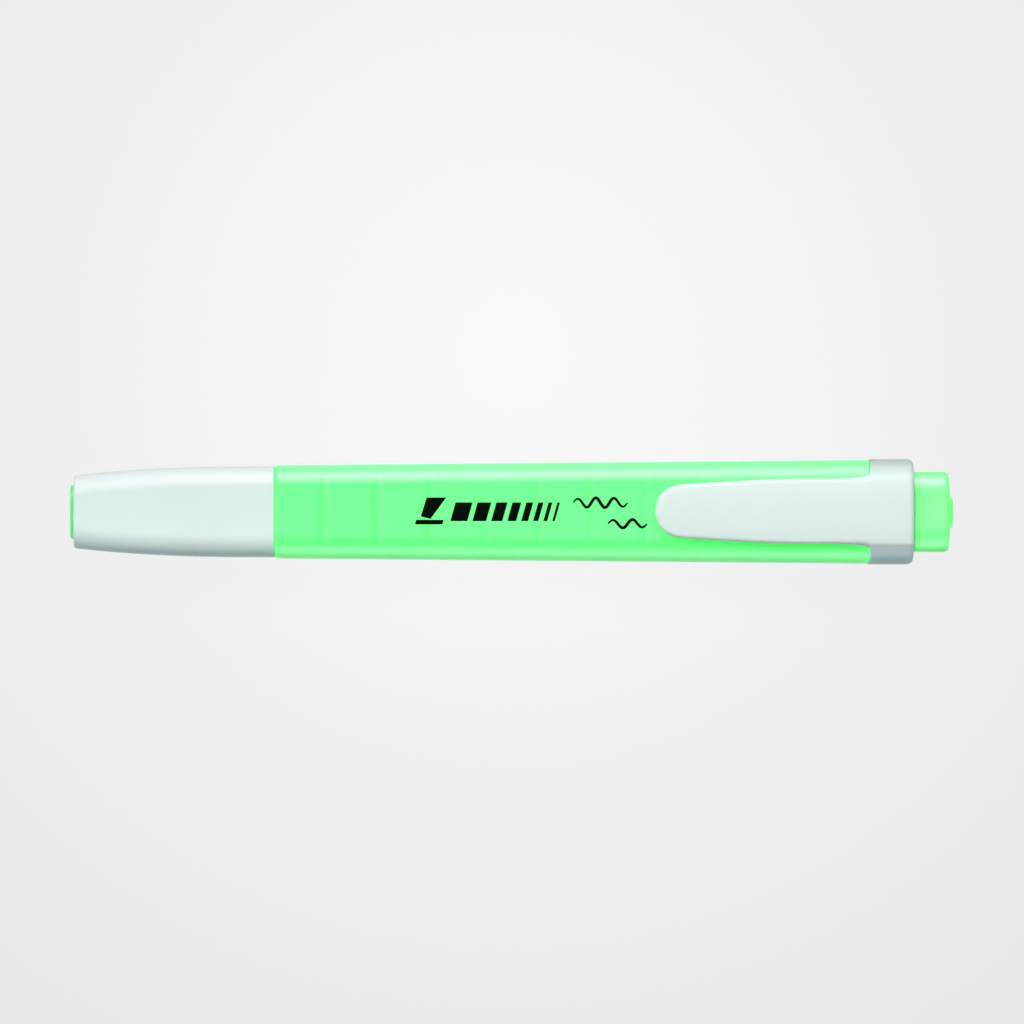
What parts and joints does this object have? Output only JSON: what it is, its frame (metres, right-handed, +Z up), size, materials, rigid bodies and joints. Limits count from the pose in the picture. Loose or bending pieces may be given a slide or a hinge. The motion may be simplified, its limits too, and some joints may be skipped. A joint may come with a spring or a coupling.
{
  "type": "highlighter",
  "caption": "Flat-sided pocket highlighter with a pull-off cap, a flexing pocket clip on a rear collar, a rear plug that holds the posted cap, and a chisel nib.",
  "frame": {"origin": "under the middle of the pen's length and width, level with the lowest face of the collar, on which the pen's back lies", "axes": "+X along the pen from the cap towards the rear plug, +Z up through the clip, +Y across the pen"},
  "size_m": [0.135, 0.016, 0.0158],
  "materials": {
    "body_plastic": "glossy, slightly translucent moulded polypropylene",
    "pale_plastic": "satin moulded polypropylene",
    "nib_fibre": "bonded fibre, wet with ink",
    "reservoir_fibre": "ink-soaked fibre",
    "film": "thin clear wrap"
  },
  "bodies": {
    "pen": {"barrel": "body_plastic", "end_plug": "body_plastic", "clip_ring": "pale_plastic", "nib_section": "pale_plastic", "nib": "nib_fibre", "reservoir_core": "reservoir_fibre", "reservoir_film": "film"},
    "cap": {"cap_shell": "pale_plastic", "cap_liner": "body_plastic"},
    "clip": {"clip_tongue": "pale_plastic"}
  },
  "joints": [
    {"name": "cap_slide", "type": "slide", "parent": "pen", "child": "cap", "axis": [-1, 0, 0], "range_m": [0, 0.032]},
    {"name": "clip_flex", "type": "hinge", "parent": "pen", "child": "clip", "pos_m": [0.0544, 0, 0.0149], "axis": [0, 1, 0], "range_deg": [0, 5], "stiffness_Nm_per_rad": 1.2}
  ]
}
